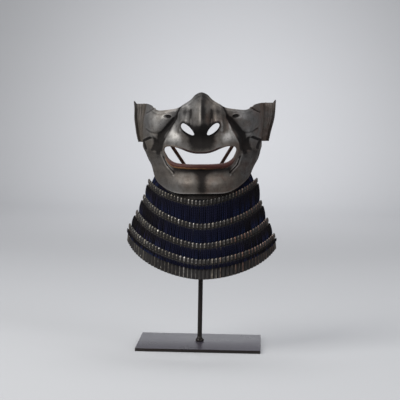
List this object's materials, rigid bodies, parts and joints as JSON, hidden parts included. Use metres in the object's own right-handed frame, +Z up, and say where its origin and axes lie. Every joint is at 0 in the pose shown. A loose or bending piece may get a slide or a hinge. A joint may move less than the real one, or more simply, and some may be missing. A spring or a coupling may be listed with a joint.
{
  "type": "samurai face guard with laced throat guard on a display stand",
  "caption": "Iron half-mask face guard with a laced lame throat guard, held by a rod stand with a forked top and a flat base plate.",
  "frame": {"origin": "middle of the base plate's underside, where the stand rests; the post's axis is the Z axis", "axes": "+Z up, the mask looks towards -Y, +X to the viewer's right"},
  "size_m": [0.1939, 0.1705, 0.3287],
  "materials": {
    "iron_plate": "russet iron, dark brown patina rubbed bright on the high parts, red lacquer on the lip and inside",
    "scales": "worn black lacquer over narrow scales, gilt rubbed heads",
    "lacing": "woven indigo silk braid",
    "stand": "blackened steel, satin"
  },
  "bodies": {
    "root": {"face_plate": "iron_plate", "lame_1": "scales", "lame_2": "scales", "lame_3": "scales", "lame_4": "scales", "lacing_0": "lacing", "lacing_1": "lacing", "lacing_2": "lacing", "lacing_3": "lacing", "lacing_4": "lacing", "stand_base": "stand", "stand_post": "stand", "stand_fork": "stand"}
  },
  "joints": []
}
